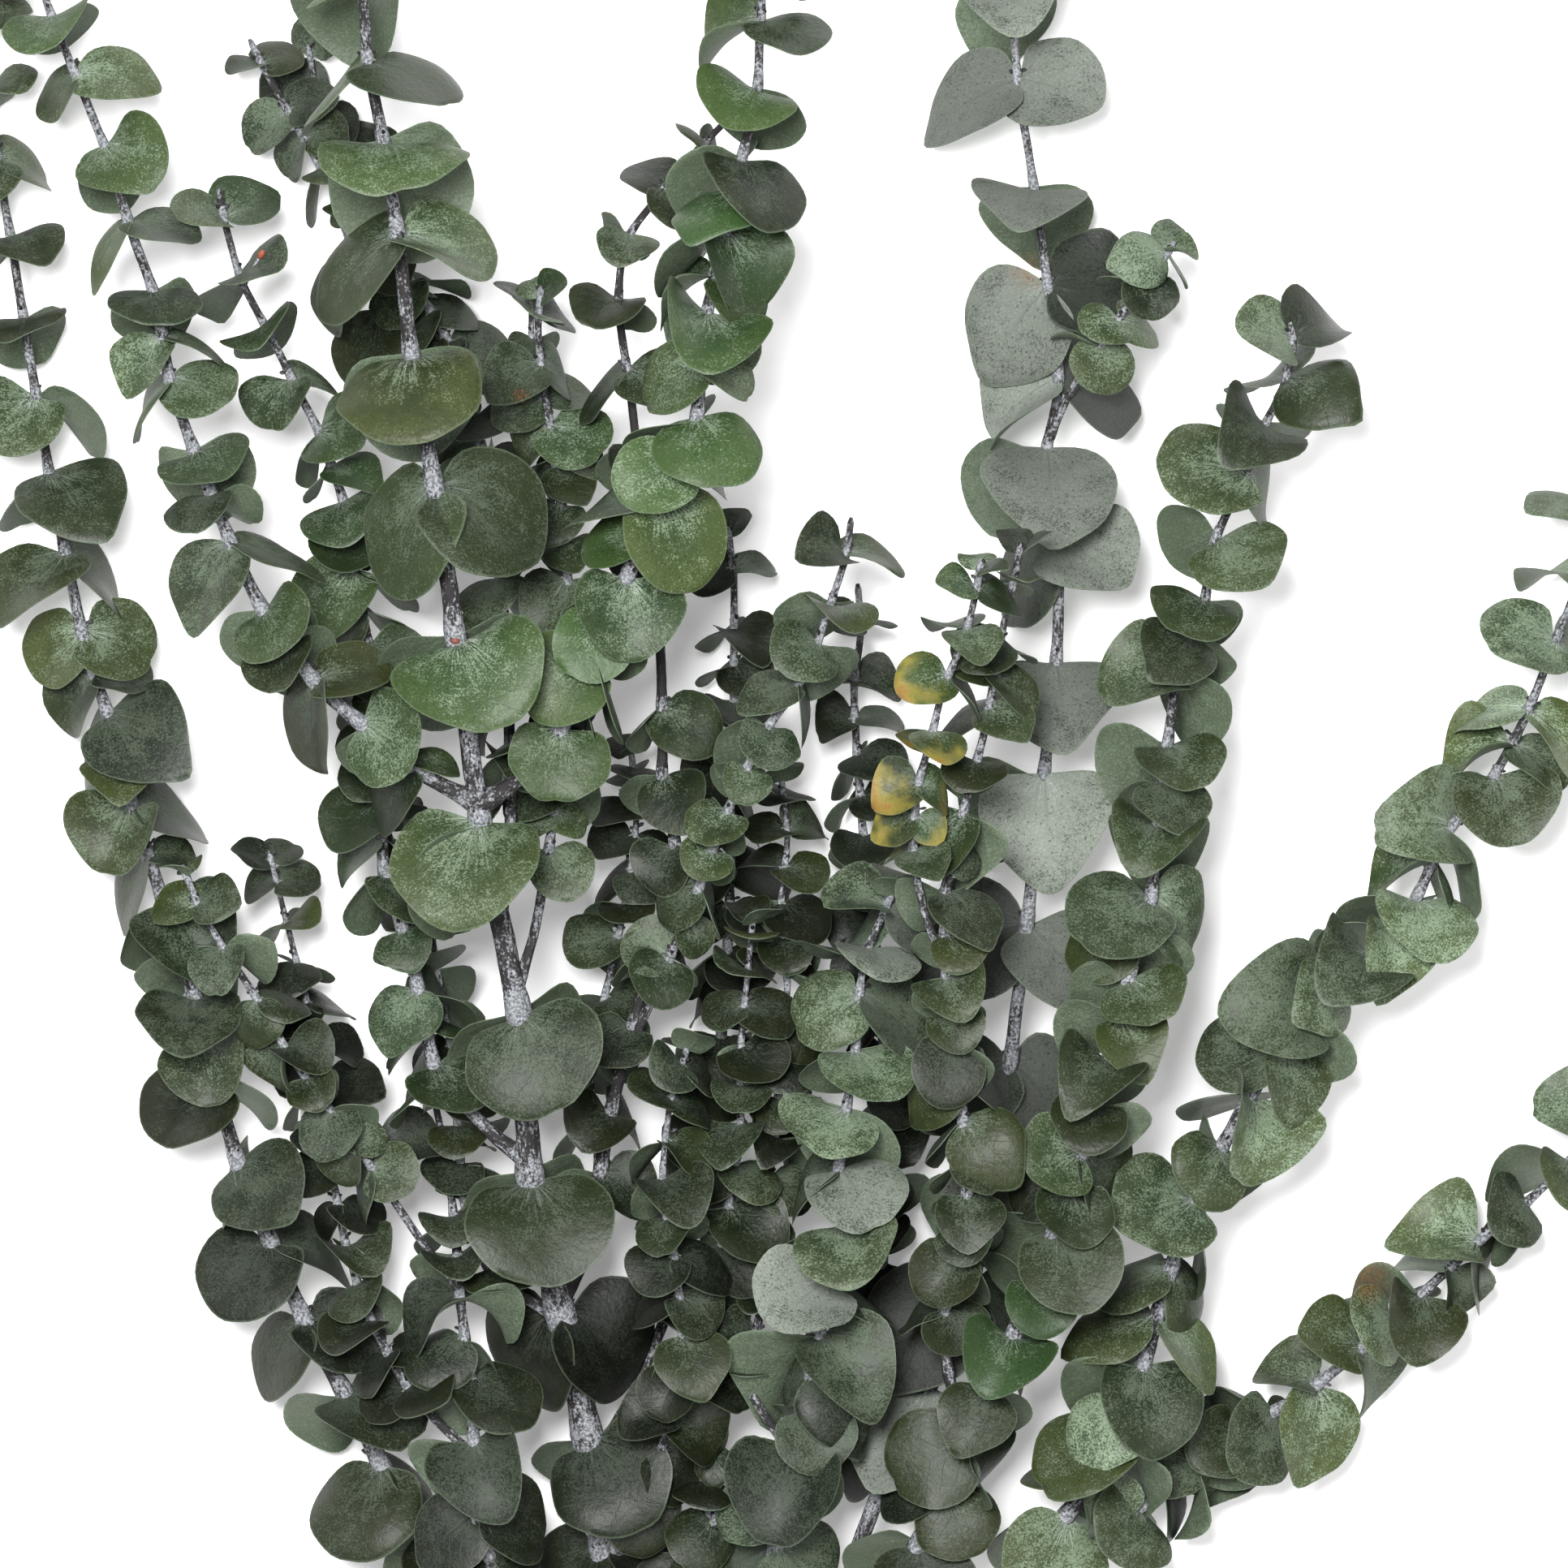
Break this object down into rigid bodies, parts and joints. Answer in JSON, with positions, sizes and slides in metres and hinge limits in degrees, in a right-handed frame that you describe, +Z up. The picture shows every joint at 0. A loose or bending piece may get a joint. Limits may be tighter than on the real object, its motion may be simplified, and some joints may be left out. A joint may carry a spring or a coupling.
{
  "type": "eucalyptus branch",
  "caption": "Cut leafy branch with round leaves in pairs on many forked shoots, laid flat on a surface.",
  "frame": {"origin": "centre of the bounding box seen from above, on the surface that the branch lies on", "axes": "+Y is the growth direction, from the cut end to the tips; +Z is up; +X is to the right seen from above with the tips ahead"},
  "size_m": [0.5258, 0.6669, 0.1254],
  "materials": {
    "green_foliage": "matt green leaves with a pale bloom",
    "grey_foliage": "matt grey-green leaves under a heavy bloom",
    "yellow_foliage": "matt green leaves that turn yellow",
    "bark": "dull grey bark with dark specks"
  },
  "bodies": {
    "root": {"main_stem": "green_foliage", "upper_right_shoot": "green_foliage", "upper_left_shoot": "green_foliage", "left_shoot": "green_foliage", "middle_lower_shoot": "green_foliage", "right_shoot": "green_foliage", "dark_right_shoot": "green_foliage", "yellow_shoot": "yellow_foliage", "far_right_shoot": "green_foliage", "low_right_shoot": "green_foliage", "long_left_shoot": "green_foliage", "lower_left_shoot": "green_foliage", "left_twig": "green_foliage", "grey_shoot": "grey_foliage", "grey_side_shoot": "green_foliage", "dark_shoot": "green_foliage", "middle_shoot": "green_foliage", "small_inner_shoot": "green_foliage", "back_left_shoot": "green_foliage", "back_middle_shoot": "green_foliage", "back_right_shoot": "green_foliage"}
  },
  "joints": []
}
